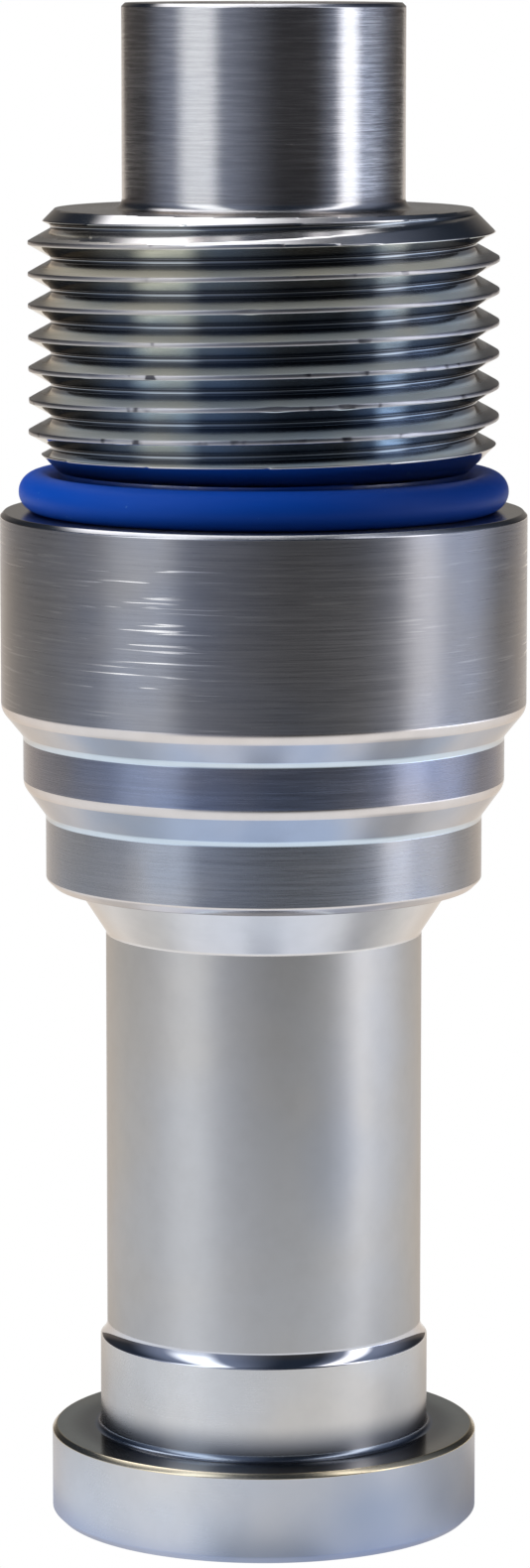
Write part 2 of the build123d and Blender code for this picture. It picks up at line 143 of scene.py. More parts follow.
# Bluish greys close to the object: painted contact shade on the floor.
SHEET_NEAR_SHADE = (0.82, 0.86, 0.95, 1)
SHEET_CLOSE_SHADE = (0.58, 0.66, 0.88, 1)
SHADOW = (0.20, 0.23, 0.30, 1)
SHADOW_PLACE = ((0.032, 0.004), (0.026, 0.026))      # centre and radii of an ellipse on the floor
RIGHT_SHADE = (0.24, 0.25, 0.28, 1)
RIGHT_PLACE = ((0.062, -0.010), (0.022, 0.036))
BESIDE_SHADE = (0.20, 0.21, 0.22, 1)
AHEAD_SHADE = (0.26, 0.30, 0.38, 1)
TABLE = (0.050, 0.047, 0.048, 1)
TABLE_FAR = (0.016, 0.016, 0.020, 1)
GLARE = (2.3, 2.5, 3.0, 1)
ROOM_LOW = (0.042, 0.042, 0.046, 1)
ROOM_HIGH = (0.022, 0.030, 0.046, 1)
ROOM_ASIDE = (0.20, 0.18, 0.17, 1)
ROOM_BEHIND = (0.26, 0.26, 0.26, 1)
OVERHEAD = (2.2, 2.2, 2.3, 1)
OVERHEAD_PLACE = ((-0.15, 0.30), (0.50, 0.40))       # the same, as parts of a direction upwards


# ------------------------------------------------------------------ shader helpers
class Shader:
    """One node tree, with short calls that add a node and link its inputs."""

    def __init__(self, tree):
        self.tree = tree
        tree.nodes.clear()

    def node(self, kind, inputs=None, **settings):
        made = self.tree.nodes.new(kind)
        for key, value in settings.items():
            setattr(made, key, value)
        for key, value in (inputs or {}).items():
            self.feed(made.inputs[key], value)
        return made

    def feed(self, socket, value):
        if isinstance(value, bpy.types.NodeSocket):
            self.tree.links.new(value, socket)
        else:
            socket.default_value = value

    def math(self, operation, a, b=0.0, c=0.0, clamp=False):
        made = self.node("ShaderNodeMath", {0: a, 1: b, 2: c}, operation=operation)
        made.use_clamp = clamp
        return made.outputs[0]

    def times(self, first, *others):
        """Product of two or more values."""
        for other in others:
            first = self.math("MULTIPLY", first, other)
        return first

    def length(self, a, b):
        """Length of the vector (a, b)."""
        return self.math("SQRT", self.math("ADD", self.math("MULTIPLY", a, a), self.math("MULTIPLY", b, b)))

    def from_ellipse(self, x, y, place):
        """Distance of (x, y) from an ellipse's centre, where 1 is on its line."""
        centre, radii = place
        across = self.math("DIVIDE", self.math("SUBTRACT", x, centre[0]), radii[0])
        along = self.math("DIVIDE", self.math("SUBTRACT", y, centre[1]), radii[1])
        return self.length(across, along)

    def bearing(self, x, y):
        """Direction of (x, y) in degrees: 0 is towards the camera, and it grows to the right."""
        return self.math("MULTIPLY", self.math("ARCTAN2", x, self.math("MULTIPLY", y, -1.0)), 180 / math.pi)

    def ramp(self, value, low, high, to_low=0.0, to_high=1.0):
        """Smooth step of a value between low and high."""
        made = self.node("ShaderNodeMapRange", {"Value": value, 1: low, 2: high, 3: to_low, 4: to_high})
        made.interpolation_type = "SMOOTHSTEP"
        return made.outputs[0]

    def mix(self, factor, a, b, blend="MIX"):
        made = self.node("ShaderNodeMix", data_type="RGBA", blend_type=blend, clamp_factor=False)
        self.feed(made.inputs[0], factor)
        self.feed(made.inputs[6], a)
        self.feed(made.inputs[7], b)
        return made.outputs[2]

    def noise(self, vector, scale, detail=2.0, roughness=0.5):
        made = self.node("ShaderNodeTexNoise", {"Vector": vector, "Scale": scale, "Detail": detail,
                                                "Roughness": roughness})
        return made.outputs["Fac"]


def material(name):
    made = bpy.data.materials.new(name)
    made.use_nodes = True
    return made, Shader(made.node_tree)


def lathe_coordinates(s):
    """Angle, height and radius of a point about the turning axis, as sockets."""
    place = s.node("ShaderNodeTexCoord").outputs["Object"]
    xyz = s.node("ShaderNodeSeparateXYZ", {0: place})
    x, y, z = xyz.outputs
    angle = s.math("ARCTAN2", y, x)
    return place, angle, z, s.length(x, y)


def lathe_vector(s, angle, along, turns, rings):
    """Texture place that is drawn out round the axis: few features per turn, many per metre."""
    return s.node("ShaderNodeCombineXYZ", {0: s.times(angle, turns),
                                           1: s.times(along, rings)}).outputs[0]


def stain_and_shade_spot(s, angle, z, cloud, stain_and_shade):
    """Share of a soft, irregular bluish spot: a stain in the plating, and on the flange also painted shade.
    """
    centre, half_width, middle, half_height, strength = stain_and_shade
    sideways = s.math("DIVIDE", s.math("SUBTRACT", angle, math.radians(centre)), math.radians(half_width))
    upward = s.math("DIVIDE", s.math("SUBTRACT", z, middle * MM), half_height * MM)
    away = s.math("ADD", s.length(sideways, upward), s.times(s.math("SUBTRACT", cloud, 0.5), 1.6))
    return s.ramp(away, 1.1, 0.1, 0.0, strength)


def turned_metal(name, base, roughness, anisotropy, groove, streak, cool, warm, stain,
                 rub_marks_and_painted_highlight=0.0, nicks=0.0, stain_and_shade=None, shaded=None, worn=None):
    """Zinc plated or bare turned steel with tool lines that run round the axis.

    groove is the bump strength of the tool lines, streak how much they change the roughness, stain
    how far the plating's cool and warm tints go, rub_marks_and_painted_highlight the strength of the
    bright rub marks that three chuck jaws left, which are brightened into a painted highlight where the
    left light reflects, nicks the strength of the small dark dents, and stain_and_shade a bluish spot
    that is a stain in the plating and, on the flange, also painted shade.
    shaded is (radius or z, dark end, light end, share) of a soft blue-black shade that gathers in a
    corner. worn is (inner radius, outer radius, color, roughness) of the dulled outer part of a flank.
    """
    made, s = material(name)
    place, angle, z, radius = lathe_coordinates(s)
    along = s.math("ADD", z, s.times(radius, 0.77))
    lines = s.noise(lathe_vector(s, angle, along, 1.4, 3100.0), 1.0, 3.0, 0.6)
    fine = s.noise(lathe_vector(s, angle, along, 5.0, 9000.0), 1.0, 2.0, 0.6)
    both = s.math("ADD", s.times(lines, 0.6), s.times(fine, 0.4))
    cloud = s.noise(place, 38.0, 3.0, 0.55)
    mottle = s.noise(place, 420.0, 3.0, 0.6)
    tint = s.mix(s.ramp(cloud, 0.38, 0.62), cool, warm)
    color = s.mix(stain, base, tint)
    color = s.mix(s.times(s.ramp(mottle, 0.35, 0.75), 0.10), color,
                  tuple(0.6 * c for c in base[:3]) + (1,))
    color = s.mix(s.times(s.ramp(both, 0.62, 0.40), 0.6 * groove), color,
                  tuple(0.45 * c for c in base[:3]) + (1,))
    # Bluish spot: on the shank a stain in the plating; on the flange partly painted shade, standing in for
    # the object's shadow that the flange mirrors from the floor.
    if stain_and_shade:
        color = s.mix(stain_and_shade_spot(s, angle, z, cloud, stain_and_shade), color, (0.32, 0.38, 0.50, 1))
    rough = s.math("ADD", roughness, s.times(s.math("SUBTRACT", both, 0.5), streak))
    rough = s.math("ADD", rough, s.times(s.math("SUBTRACT", cloud, 0.5), 0.10))
    if shaded:
        measure = radius if shaded[0] == "radius" else z
        color = s.mix(s.ramp(measure, shaded[1], shaded[2], shaded[3], 0.0), color, (0.035, 0.065, 0.13, 1))
    if worn:
        wear = s.ramp(radius, worn[0], worn[1])
        color = s.mix(wear, color, s.mix(s.ramp(cloud, 0.35, 0.65), worn[2], warm))
        rough = s.math("ADD", rough, s.times(wear, worn[3] - roughness))
    if nicks:
        dents = s.noise(lathe_vector(s, angle, along, 11.0, 400.0), 1.0, 2.0, 0.5)
        where = s.ramp(s.noise(place, 70.0, 1.0), 0.46, 0.56)
        dents = s.times(s.times(s.ramp(dents, 0.56, 0.68), where), nicks)
        color = s.mix(dents, color, (0.03, 0.03, 0.04, 1))
    # Bright rub streaks round three jaws; the jaws are turned so that one set lies where the left light
    # reflects, and there the near-white colour is a painted highlight.
    if rub_marks_and_painted_highlight:
        jaw_and_highlight_wave = s.math("COSINE", s.times(s.math("SUBTRACT", angle, JAW_AND_HIGHLIGHT_ANGLE), 3.0))
        marks = s.noise(lathe_vector(s, angle, along, 3.4, 4300.0), 1.0, 1.0, 0.4)
        rings = s.noise(lathe_vector(s, angle, along, 1.2, 330.0), 1.0, 1.0, 0.5)
        near_jaw_and_highlight = s.ramp(jaw_and_highlight_wave, 0.55, 0.95, 0.12, 1.0)
        rub_and_highlight_shine = s.times(s.ramp(marks, 0.60, 0.68), s.ramp(rings, 0.44, 0.56))
        rub_and_highlight_shine = s.times(s.times(rub_and_highlight_shine, near_jaw_and_highlight), rub_marks_and_painted_highlight)
        rough = s.math("SUBTRACT", rough, s.times(rub_and_highlight_shine, 0.5 * roughness))
        color = s.mix(rub_and_highlight_shine, color, (0.95, 0.94, 0.92, 1))
    bump = s.node("ShaderNodeBump", {"Strength": groove, "Distance": 0.00004, "Height": both})
    tangent = s.node("ShaderNodeTangent", direction_type="RADIAL", axis="Z")
    surface = s.node("ShaderNodeBsdfPrincipled", {
        "Base Color": color, "Metallic": 1.0, "Roughness": rough, "Anisotropic": anisotropy,
        "Anisotropic Rotation": 0.25, "Specular Tint": (0.82, 0.74, 0.66, 1),
        "Normal": bump.outputs[0], "Tangent": tangent.outputs[0]})
    s.node("ShaderNodeOutputMaterial", {"Surface": surface.outputs[0]})
    return made


def rubber(name, color, dust, roughness):
    """Moulded elastomer with a satin skin, faint flow marks and a little dust."""
    made, s = material(name)
    place, angle, z, _ = lathe_coordinates(s)
    flow = s.noise(lathe_vector(s, angle, z, 3.0, 900.0), 3.0, 2.0)
    grain = s.noise(place, 5200.0, 2.0)
    specks = s.ramp(s.noise(place, 1400.0, 1.0), 0.76, 0.82)
    shade = s.mix(s.times(flow, 0.35), color, tuple(0.75 * c for c in color[:3]) + (1,))
    shade = s.mix(s.times(specks, 0.35), shade, dust)
    rough = s.math("ADD", roughness, s.times(flow, 0.10))
    bump = s.node("ShaderNodeBump", {"Strength": 0.12, "Distance": 0.00003, "Height": grain})
    surface = s.node("ShaderNodeBsdfPrincipled", {
        "Base Color": shade, "Roughness": rough, "Specular IOR Level": 0.14,
        "Normal": bump.outputs[0]})
    s.node("ShaderNodeOutputMaterial", {"Surface": surface.outputs[0]})
    return made


def seal_plastic(name, color):
    """Off-white low-friction plastic with faint machining rings."""
    made, s = material(name)
    _, _, z, radius = lathe_coordinates(s)
    rings = s.noise(s.node("ShaderNodeCombineXYZ", {1: s.times(z, 900.0),
                                                    2: s.times(radius, 900.0)}).outputs[0], 4.0)
    shade = s.mix(s.times(rings, 0.3), color, (0.70, 0.68, 0.60, 1))
    bump = s.node("ShaderNodeBump", {"Strength": 0.15, "Distance": 0.00003, "Height": rings})
    surface = s.node("ShaderNodeBsdfPrincipled", {
        "Base Color": shade, "Roughness": 0.42, "Subsurface Weight": 0.15, "Subsurface Scale": 0.001,
        "Normal": bump.outputs[0]})
    s.node("ShaderNodeOutputMaterial", {"Surface": surface.outputs[0]})
    return made


# ------------------------------------------------------------------ mesh helpers
def rounded(corners):
    """Points of an outline from (radius, height, corner radius, finish, finish after) corners.

    The finish covers the corner's own rounding; the finish after, where given, covers the run from
    there to the next corner.
    """
    points = []
    count = len(corners)
    for i, corner in enumerate(corners):
        r, z, blend, finish = corner[:4]
        finish_after = corner[-1]
        before = Vector(corners[i - 1][:2]) if i else None
        after = Vector(corners[i + 1][:2]) if i + 1 < count else None
        here = Vector((r, z))
        if not blend or before is None or after is None:
            points.append((r, z, finish_after))
            continue
        back = (before - here).normalized()
        ahead = (after - here).normalized()
        opening = back.angle(ahead)
        reach = blend / math.tan(opening / 2)
        centre = here + (back + ahead).normalized() * (blend / math.sin(opening / 2))
        start = here + back * reach
        end = here + ahead * reach
        turn = math.pi - opening
        steps = max(2, math.ceil(turn / ARC_STEP))
        first = start - centre
        last = end - centre
        for k in range(steps + 1):
            t = k / steps
            point = centre + (first * math.sin((1 - t) * turn) + last * math.sin(t * turn)) / math.sin(turn)
            points.append((point.x, point.y, finish))
        points[-1] = (point.x, point.y, finish_after)
    return points


def turned_faces(bm, points, finishes, closed):
    """Revolve outline points about Z into a bmesh; each face takes its finish's material slot."""
    rings = []
    for r, z, _ in points:
        ring = []
        for j in range(COLUMNS):
            a = 2 * math.pi * j / COLUMNS
            ring.append(bm.verts.new((r * math.cos(a) * MM, r * math.sin(a) * MM, z * MM)))
        rings.append(ring)
    spans = len(points) if closed else len(points) - 1
    for i in range(spans):
        low, high = rings[i], rings[(i + 1) % len(points)]
        slot = finishes.index(points[i][2])
        for j in range(COLUMNS):
            k = (j + 1) % COLUMNS
            face = bm.faces.new((low[j], low[k], high[k], high[j]))
            face.material_index = slot
            face.smooth = True


def piece_from(name, bm, materials):
    """Clean a bmesh and make it an object with the given materials."""
    bmesh.ops.remove_doubles(bm, verts=bm.verts, dist=1e-7)
    bmesh.ops.dissolve_degenerate(bm, edges=bm.edges, dist=1e-8)
    bmesh.ops.recalc_face_normals(bm, faces=bm.faces)
    mesh = bpy.data.meshes.new(name)
    bm.to_mesh(mesh)
    bm.free()
    for made in materials:
        mesh.materials.append(made)
    piece = bpy.data.objects.new(name, mesh)
    bpy.context.scene.collection.objects.link(piece)
    return piece


def keep_flats_flat(piece):
    """Shade rounded edges smoothly without bending the light on the wide faces."""
    weighted = piece.modifiers.new("weighted", "WEIGHTED_NORMAL")
    weighted.keep_sharp = True
    weighted.weight = 90


# ------------------------------------------------------------------ valve body
def thread_profile():
    """One pitch of the thread from crest to crest, as (height above the crest's middle, radius)."""
    crest = THREAD_CREST_FLAT / 2
    root = THREAD_ROOT_FLAT / 2
    edge_r = THREAD_MAJOR_R - CREST_EDGE_DROP
    samples = [(-crest, edge_r), (-crest / 2, THREAD_MAJOR_R), (crest / 2, THREAD_MAJOR_R), (crest, edge_r)]
    flank_start = (crest + CREST_CORNER[0], THREAD_MAJOR_R - CREST_CORNER[1])
    root_start = (THREAD_PITCH / 2 - root - ROOT_CORNER[0], THREAD_ROOT_R + ROOT_CORNER[1])
    for k in range(FLANK_ROWS + 1):
        t = k / FLANK_ROWS
        samples.append((flank_start[0] + t * (root_start[0] - flank_start[0]),
                        flank_start[1] + t * (root_start[1] - flank_start[1])))
    samples.append((THREAD_PITCH / 2 - root, THREAD_ROOT_R))
    samples.append((THREAD_PITCH / 2 + root, THREAD_ROOT_R))
    for k in range(FLANK_ROWS + 1):
        t = 1 - k / FLANK_ROWS
        samples.append((THREAD_PITCH - flank_start[0] - t * (root_start[0] - flank_start[0]),
                        flank_start[1] + t * (root_start[1] - flank_start[1])))
    return samples


def thread_part(k):
    """Finish of the surface that follows sample k of the profile."""
    if k < CREST_SAMPLES:
        return "thread_crest"
    return "thread_upper" if k <= CREST_SAMPLES + FLANK_ROWS else "thread_under"


def nick(angle, turn):
    """Depth of the small dents along the crest."""
    where = Vector((9.0 * math.cos(angle), 9.0 * math.sin(angle), 3.7 * turn))
    return NICK_DEPTH * max(0.0, noise.noise(where) - NICK_THRESHOLD)


def chamfered_r(z):
    """Widest radius that the 45 degree chamfers at the thread's two ends leave at a height."""
    return min(THREAD_LOW_R + z - THREAD_LOW_Z, THREAD_TOP_R + THREAD_TOP_Z - z)


def thread_column(angle, turns_low, turns_high):
    """One upright column of (height, radius, finish) points of the thread, cut by the chamfers."""
    profile = thread_profile()
    raw = []
    for turn in range(turns_low, turns_high):
        for k, (dz, r) in enumerate(profile):
            z = THREAD_CREST_Z + (turn + angle / (2 * math.pi)) * THREAD_PITCH + dz
            if r > THREAD_MAJOR_R - CREST_BAND:
                r -= nick(angle, turn)
            part = thread_part(k)
            if part == "thread_upper" and z > THREAD_TOP_Z - RUN_OUT:
                part = "thread"
            raw.append((min(max(z, THREAD_LOW_Z), THREAD_TOP_Z), r, part))
    cut = []
    for k, (z, r, part) in enumerate(raw):
        over = r - chamfered_r(z)
        if over > 0:
            r -= over
            for z_near, r_near, _ in (raw[max(k - 1, 0)], raw[min(k + 1, len(raw) - 1)]):
                over_near = r_near - chamfered_r(z_near)
                if over_near < 0:
                    share = over / (over - over_near)
                    r = raw[k][1] + share * (r_near - raw[k][1])
                    z = raw[k][0] + share * (z_near - raw[k][0])
        cut.append((z, r, part))
    return cut


def thread_faces(bm, order):
    """The helical thread between the O-ring undercut and the thread's top face."""
    rows_per_turn = len(thread_profile())
    turns_low = math.floor((THREAD_LOW_Z - THREAD_CREST_Z) / THREAD_PITCH) - 2
    turns_high = math.ceil((THREAD_TOP_Z - THREAD_CREST_Z) / THREAD_PITCH) + 2
    columns = []
    for j in range(COLUMNS):
        angle = 2 * math.pi * j / COLUMNS
        columns.append([
            (bm.verts.new((r * math.cos(angle) * MM, r * math.sin(angle) * MM, z * MM)), z, r, part)
            for z, r, part in thread_column(angle, turns_low, turns_high)])
    rows = len(columns[0])
    for j in range(COLUMNS):
        this = columns[j]
        wraps = j + 1 == COLUMNS
        after = columns[0] if wraps else columns[j + 1]
        shift = rows_per_turn if wraps else 0
        for k in range(rows - 1 - shift):
            corners = (this[k], after[k + shift], after[k + shift + 1], this[k + 1])
            heights = [z for _, z, _, _ in corners]
            if max(heights) - min(heights) < 1e-6:
                continue
            face = bm.faces.new([vert for vert, _, _, _ in corners])
            on_chamfer = all(r > chamfered_r(z) - 1e-6 for _, z, r, _ in corners)
            face.material_index = order.index("thread" if on_chamfer else this[k][3])
            face.smooth = True


def valve_body(finishes):
    """Body from the top of the thread over the nose, down the bores and up the outside."""
    order = list(finishes)
    corners = [
        (THREAD_TOP_R, THREAD_TOP_Z, 0, "polished"),
        (NOSE_R, THREAD_TOP_Z, 1.0, "polished"),
        (NOSE_R, 146.15, 0.12, "polished"),
        (13.15, NOSE_TOP_Z, 0.12, "polished"),
        (MOUTH_R, NOSE_TOP_Z, 0.12, "nose_face"),
        (MOUTH_R, 142.5, 0.1, "bore"),
        (11.5, 139.5, 0.3, "bore"),
        (11.5, 123.0, 1.0, "bore"),
        (CHAMBER_R, 119.5, 1.0, "bore"),
        (CHAMBER_R, 91.6, 0.1, "bore"),
        (16.8, 91.6, 0.1, "bore"),
        (16.8, 86.8, 0.05, "bore"),
        (17.6, 86.8, 0.05, "bore"),
        (17.6, 85.4, 0.05, "bore"),
        (16.8, 85.4, 0.05, "bore"),
        (16.8, 77.0, 0.1, "bore"),
        (18.0, 77.0, 0.1, "bore"),
        (18.0, BODY_BOTTOM_Z, 0.1, "seam"),
        (20.3, BODY_BOTTOM_Z, 0.15, "seam", "cone_edge"),
        (STEP_LOW_R, 62.9, 0.35, "cone_edge", "step_low"),
        (STEP_LOW_R, 69.05, 0.95, "cone_foot", "cone_middle"),
        (STEP_HIGH_R, 72.0, 1.6, "cone_edge", "step_high"),
        (STEP_HIGH_R, 76.75, 0.95, "cone_foot", "cone_middle"),
        (COLLAR_R, 79.3, 1.6, "cone_edge", "collar"),
        (COLLAR_R, 97.9, 0.2, "polished"),
        (24.85, 98.3, 0.2, "polished"),
        (THREAD_LOW_R, 98.3, 0.3, "thread"),
        (THREAD_LOW_R, THREAD_LOW_Z, 0, "thread"),
    ]
    bm = bmesh.new()
    turned_faces(bm, rounded(corners), order, closed=False)
    thread_faces(bm, order)
    piece = piece_from("valve_body_turned", bm, list(finishes.values()))
    keep_flats_flat(piece)
    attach(piece, "body")
    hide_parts("valve_body")
    return piece


# ------------------------------------------------------------------ tail adapter
def tail_adapter(finishes):
    """Flange head, neck, polished hollow, shank, shoulder cone, spigot and bore."""
    order = list(finishes)
    hollow_low, hollow_high = HOLLOW_Z
    depth = NECK_R - SHANK_R
    height = hollow_high - hollow_low
    arc_r = (height ** 2 + depth ** 2) / (2 * depth)
    turn = math.asin(height / arc_r)
    groove_in, groove_out = FACE_GROOVE_R
    outline = rounded([
        (PORT_R, 0.0, 0, "flange_face"),
        (groove_in, 0.0, 0.08, "flange_face"),
        (groove_in, FACE_GROOVE_DEPTH, 0.2, "flange_face"),
        (groove_out, FACE_GROOVE_DEPTH, 0.2, "flange_face"),
        (groove_out, 0.0, 0.08, "flange_face"),
        (19.95, 0.0, 0.25, "satin"),
        (FLANGE_R, 0.7, 0.25, "satin"),
        (FLANGE_R, 8.4, 0.2, "gold_edge"),
        (20.25, FLANGE_THICKNESS, 0.2, "gold_edge", "flange_top"),
        (NECK_R, FLANGE_THICKNESS, 0.6, "fillet", "neck"),
        (NECK_R, hollow_low, 0, "hollow"),
    ])
    for k in range(1, HOLLOW_STEPS):
        a = turn * (1 - k / HOLLOW_STEPS)
        outline.append((SHANK_R + arc_r * (1 - math.cos(a)), hollow_high - arc_r * math.sin(a), "hollow"))
    outline += rounded([
        (SHANK_R, hollow_high, 0, "shank"),
        (SHANK_R, 57.65, 0.5, "cone"),
        (18.2, BODY_BOTTOM_Z, 0.12, "cone"),
        (TAIL_THREAD_R, BODY_BOTTOM_Z, 0.05, "bore"),
        (TAIL_THREAD_R, 77.0, 0.3, "bore"),
        (TAIL_SPIGOT_R, 77.0, 0.1, "bore"),
        (TAIL_SPIGOT_R, 79.0, 0.08, "bore"),
        (14.5, 79.0, 0.2, "bore"),
        (14.5, 83.6, 0.2, "bore"),
        (TAIL_SPIGOT_R, 83.6, 0.08, "bore"),
        (TAIL_SPIGOT_R, TAIL_TOP_Z, 0.2, "bore"),
        (12.7, TAIL_TOP_Z, 0.1, "bore"),
        (11.5, 84.0, 0.2, "bore"),
        (11.5, 76.0, 0.5, "bore"),
        (PORT_R, 58.0, 0.5, "bore"),
        (PORT_R, 0.15, 0, "bore"),
    ])
    bm = bmesh.new()
    turned_faces(bm, outline, order, closed=True)
    piece = piece_from("tail_adapter_turned", bm, list(finishes.values()))
    keep_flats_flat(piece)
    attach(piece, "body")
    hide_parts("tail_adapter")
    return piece


# ------------------------------------------------------------------ seals and springs
def o_ring(node, finish, body):
    """Moulded ring in the place and size of its CAD node."""
    low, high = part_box(node)
    section = (high.z - low.z) / 2
    centre_r = high.x - section
    centre_z = (low.z + high.z) / 2
    bm = bmesh.new()
    around, across = COLUMNS, RING_SECTION_COLUMNS
    grid = []
    for j in range(around):
        a = 2 * math.pi * j / around
        loop = []
        for k in range(across):
            b = 2 * math.pi * k / across
            r = centre_r + section * math.cos(b)
            z = centre_z + section * math.sin(b)
            loop.append(bm.verts.new((r * math.cos(a), r * math.sin(a), z)))
        grid.append(loop)
    for j in range(around):
        for k in range(across):
            jj, kk = (j + 1) % around, (k + 1) % across
            face = bm.faces.new((grid[j][k], grid[jj][k], grid[jj][kk], grid[j][kk]))
            face.smooth = True
    piece = piece_from(node + "_moulded", bm, [finish])
    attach(piece, body)
    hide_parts(node)
    return piece


def coil_spring(node, turns, wire_r, finish, body):
    """Coil spring with closed, ground ends."""
    low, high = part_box(node)
    mean_r = high.x - wire_r
    length = high.z - low.z
    across = WIRE_COLUMNS
    steps = int(turns * COIL_STEPS)
    closed_turns = 1.0
    open_turns = turns - 2 * closed_turns
    first = low.z + COIL_SINK * wire_r
    closed_rise = 2 * wire_r
    open_rise = length - 2 * COIL_SINK * wire_r - 2 * closed_rise * closed_turns
    bm = bmesh.new()
    loops = []
    for i in range(steps + 1):
        n = i / COIL_STEPS
        if n < closed_turns:
            z = first + closed_rise * n
        elif n < closed_turns + open_turns:
            z = first + closed_rise * closed_turns + open_rise * (n - closed_turns) / open_turns
        else:
            z = first + closed_rise * closed_turns + open_rise + closed_rise * (n - closed_turns - open_turns)
        a = 2 * math.pi * n
        loop = []
        for k in range(across):
            b = 2 * math.pi * k / across
            r = mean_r + wire_r * math.cos(b)
            zz = min(max(z + wire_r * math.sin(b), low.z), high.z)
            loop.append(bm.verts.new((r * math.cos(a), r * math.sin(a), zz)))
        loops.append(loop)
    for i in range(steps):
        for k in range(across):
            kk = (k + 1) % across
            face = bm.faces.new((loops[i][k], loops[i + 1][k], loops[i + 1][kk], loops[i][kk]))
            face.smooth = True
    bm.faces.new(loops[0])
    bm.faces.new(list(reversed(loops[-1])))
    piece = piece_from(node + "_coiled", bm, [finish])
    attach(piece, body)
    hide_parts(node)
    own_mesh(piece)
    return piece


# ------------------------------------------------------------------ stage
def side_lights(s, bearing):
    """Share of the left and the right light's white core and bluish skirt at a bearing in degrees."""
    left_core = s.times(s.ramp(bearing, -80, -62), s.ramp(bearing, -32, -46))
    left_skirt = s.times(s.ramp(bearing, -118, -72), s.ramp(bearing, 18, -44))
    right_core = s.times(s.ramp(bearing, 59, 70), s.ramp(bearing, 88, 76))
    right_skirt = s.times(s.ramp(bearing, 40, 68), s.ramp(bearing, 142, 80))
    return left_core, left_skirt, right_core, right_skirt


def with_side_lights(s, color, bearing, share, left_gain, right_gain=1.0):
    """A backdrop colour with the two side lights added to it."""
    left_core, left_skirt, right_core, right_skirt = side_lights(s, bearing)
    left_core = s.times(left_core, left_gain)
    right_core = s.times(right_core, right_gain)
    for amount, glow in ((left_skirt, SIDE_SKIRT), (left_core, LEFT_CORE),
                         (right_skirt, SIDE_SKIRT), (right_core, RIGHT_CORE)):
        color = s.mix(s.times(amount, share), color, glow, blend="ADD")
    return color


def sheet_color(s, x, y, away, bearing):
    """White sheet that the object stands on, with a painted bluish contact shade close by and soft painted
    shades on it.
    """
    shadow = s.times(s.ramp(s.from_ellipse(x, y, SHADOW_PLACE), 1.0, 0.3), 0.65)
    sheet = s.mix(s.ramp(away, 0.060, 0.032), SHEET, SHEET_NEAR_SHADE)
    sheet = s.mix(s.ramp(away, 0.029, 0.022), sheet, SHEET_CLOSE_SHADE)
    sheet = s.mix(shadow, sheet, SHADOW)
    beside = s.times(s.ramp(away, 0.040, 0.050), s.ramp(away, 0.10, 0.06))
    beside = s.times(s.ramp(s.math("ABSOLUTE", bearing), 50, 90), beside)
    sheet = s.mix(s.times(beside, 0.34), sheet, BESIDE_SHADE)
    ahead = s.times(s.ramp(away, 0.018, 0.023), s.ramp(away, 0.034, 0.029))
    ahead = s.times(s.ramp(s.math("ABSOLUTE", bearing), 28, 8), ahead)
    sheet = s.mix(s.times(ahead, 0.75), sheet, AHEAD_SHADE)
    right = s.ramp(s.from_ellipse(x, y, RIGHT_PLACE), 1.1, 0.4)
    return s.mix(s.times(right, 0.35), sheet, RIGHT_SHADE)


def table_color(s, away, bearing):
    """Dark table round the sheet, which mirrors the side lights."""
    far = s.times(s.ramp(away, 1.16, 1.30), s.ramp(away, 2.6, 2.3))
    table = s.mix(far, TABLE, TABLE_FAR)
    left_gain = s.ramp(far, 0.0, 1.0, 1.0, 2.6)
    right_gain = s.ramp(far, 0.0, 1.0, 1.0, 0.3)
    return with_side_lights(s, table, bearing, 0.9, left_gain, right_gain)


def floor_material():
    """White to the camera; to the metal, a sheet with a front edge on a dark table, and a glare."""
    made, s = material("floor")
    place = s.node("ShaderNodeTexCoord").outputs["Object"]
    xyz = s.node("ShaderNodeSeparateXYZ", {0: place})
    x, y = xyz.outputs[0], xyz.outputs[1]
    away = s.length(x, y)
    bearing = s.bearing(x, y)
    front = s.ramp(y, -0.30, -0.12)
    behind = s.times(s.math("MAXIMUM", y, 0.0), 0.35)
    sides = s.ramp(s.math("SUBTRACT", s.math("ABSOLUTE", x), behind), 0.70, 0.30)
    on_sheet = s.times(front, sides)
    reflected = s.mix(on_sheet, table_color(s, away, bearing), sheet_color(s, x, y, away, bearing))
    glare = s.times(s.ramp(bearing, 62, 90), s.ramp(bearing, 126, 92))
    glare = s.times(glare, s.times(s.ramp(away, 0.36, 0.52), s.ramp(away, 1.2, 0.9)))
    reflected = s.mix(glare, reflected, GLARE, blend="ADD")
    seen = s.node("ShaderNodeLightPath").outputs["Is Camera Ray"]
    color = s.mix(seen, reflected, SEEN_WHITE)
    # The floor glows with this colour rather than being lit: its sheet, painted shades, painted glare and
    # painted reflections of the side lights all shine from it.
    glow = s.node("ShaderNodeEmission", {"Color": color, "Strength": 1.0})
    s.node("ShaderNodeOutputMaterial", {"Surface": glow.outputs[0]})
    return made


def floor():
    """Plain pale floor under the object."""
    bm = bmesh.new()
    bmesh.ops.create_grid(bm, x_segments=1, y_segments=1, size=FLOOR_HALF)
    mesh = bpy.data.meshes.new("floor")
    bm.to_mesh(mesh)
    bm.free()
    mesh.materials.append(floor_material())
    ground = bpy.data.objects.new("floor", mesh)
    ground.location.z = CAD_BOX[0].z - 0.0001
    bpy.context.scene.collection.objects.link(ground)


